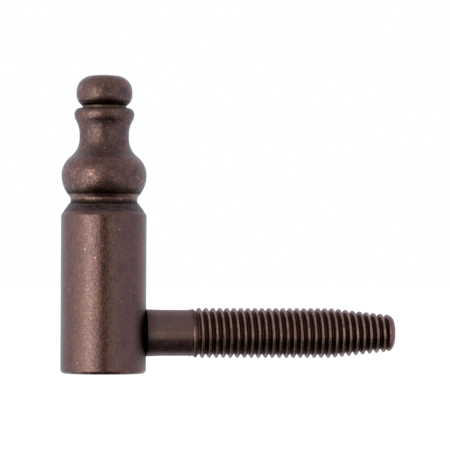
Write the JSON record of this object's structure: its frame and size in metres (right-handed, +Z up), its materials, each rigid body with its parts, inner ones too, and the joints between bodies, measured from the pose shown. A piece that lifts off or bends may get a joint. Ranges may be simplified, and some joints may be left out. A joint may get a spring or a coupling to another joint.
{
  "type": "upper hinge half",
  "caption": "Upper half of a drill-in door hinge: bored round barrel with a turned finial on top and a tapered screw shank out of its side.",
  "frame": {"origin": "centre of the pin bore's mouth, in the barrel's bottom face", "axes": "+Z up the barrel's axis, which is the hinge's axis; +X along the shank, out of the barrel"},
  "size_m": [0.0594, 0.015, 0.0524],
  "materials": {
    "barrel": "steel with a satin dark antique bronze patina, mottled and worn to copper at the edges",
    "finial": "steel with a satin dark antique bronze patina, mottled and worn to copper at the edges",
    "threaded_shank": "steel with a satin dark antique bronze patina, worn to tan on the thread crests"
  },
  "bodies": {
    "root": {"barrel": "barrel", "finial": "finial", "threaded_shank": "threaded_shank"}
  },
  "joints": []
}
